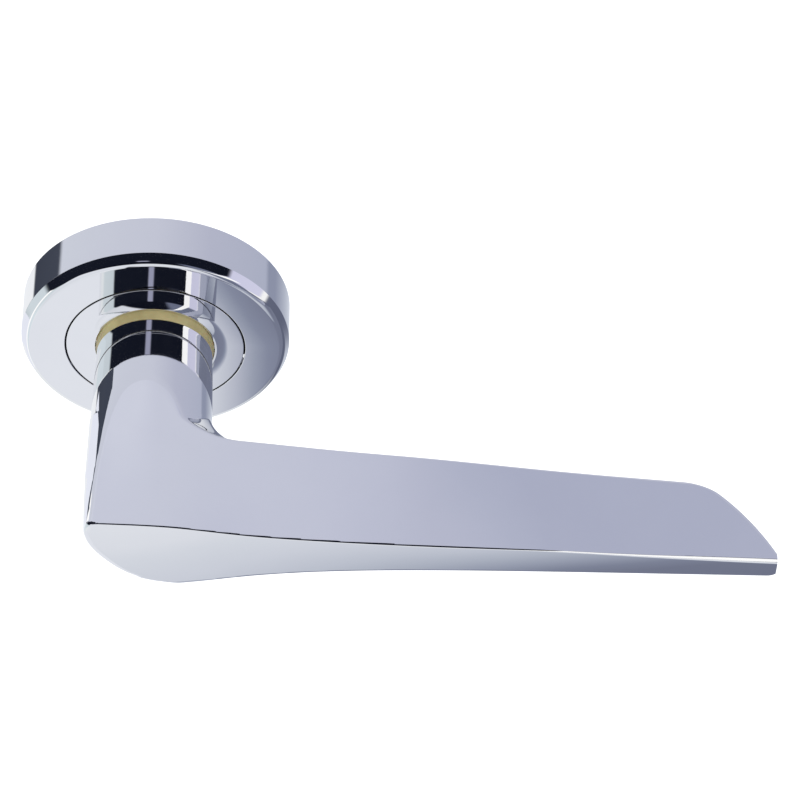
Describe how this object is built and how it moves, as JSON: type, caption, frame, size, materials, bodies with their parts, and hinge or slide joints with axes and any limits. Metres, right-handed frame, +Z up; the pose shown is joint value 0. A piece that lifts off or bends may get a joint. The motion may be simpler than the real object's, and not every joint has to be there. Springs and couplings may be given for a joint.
{
  "type": "door lever handle",
  "caption": "Sprung door lever handle: a wedge-shaped cranked lever on a round bevelled rose with a tan bearing ring, spring cassette, spindle and bolt-through lugs.",
  "frame": {"origin": "the turning axis at the face of the door", "axes": "+Y into the door along the spindle, +X along the lever towards its tip, +Z up"},
  "size_m": [0.1442, 0.0717, 0.052],
  "materials": {
    "polished_chrome": "mirror polished chrome plate",
    "tan_nylon": "natural tan nylon, faint turning lines",
    "cast_zinc": "as-cast dull zinc alloy",
    "zinc_steel": "bright zinc plated steel",
    "spring_steel": "oiled drawn spring wire",
    "pin_steel": "ground steel",
    "rivet_brass": "plain brass",
    "washer_brass": "rolled brass",
    "black_steel": "black oxide steel",
    "spindle_steel": "drawn zinc plated square bar"
  },
  "bodies": {
    "rose": {"base_plate": "cast_zinc", "bolt_sleeves": "zinc_steel", "rear_bush": "tan_nylon", "bearing_ring": "tan_nylon", "rose_hub": "polished_chrome", "spring_plate": "zinc_steel", "plate_rivets": "rivet_brass", "stop_pins": "pin_steel", "thrust_washer": "washer_brass", "return_spring": "spring_steel"},
    "cover": {"rose_cover": "polished_chrome"},
    "handle": {"lever": "polished_chrome", "neck_ferrule": "polished_chrome", "driver_plate": "zinc_steel", "spring_washer": "spring_steel", "retaining_ring": "black_steel", "grub_screw": "black_steel"},
    "spindle_bar": {"spindle": "spindle_steel"}
  },
  "joints": [
    {"name": "lever_turn", "type": "hinge", "parent": "rose", "child": "handle", "pos_m": [0, 0, 0], "axis": [0, 1, 0], "range_deg": [0, 45], "stiffness_Nm_per_rad": 0.8, "springref_deg": -57.3, "deforming": ["return_spring"]},
    {"name": "spindle_slide", "type": "slide", "parent": "handle", "child": "spindle_bar", "axis": [0, 1, 0], "range_m": [0, 0.03]},
    {"name": "rose_cover_slide", "type": "slide", "parent": "rose", "child": "cover", "axis": [0, -1, 0], "range_m": [0, 0.015]}
  ]
}
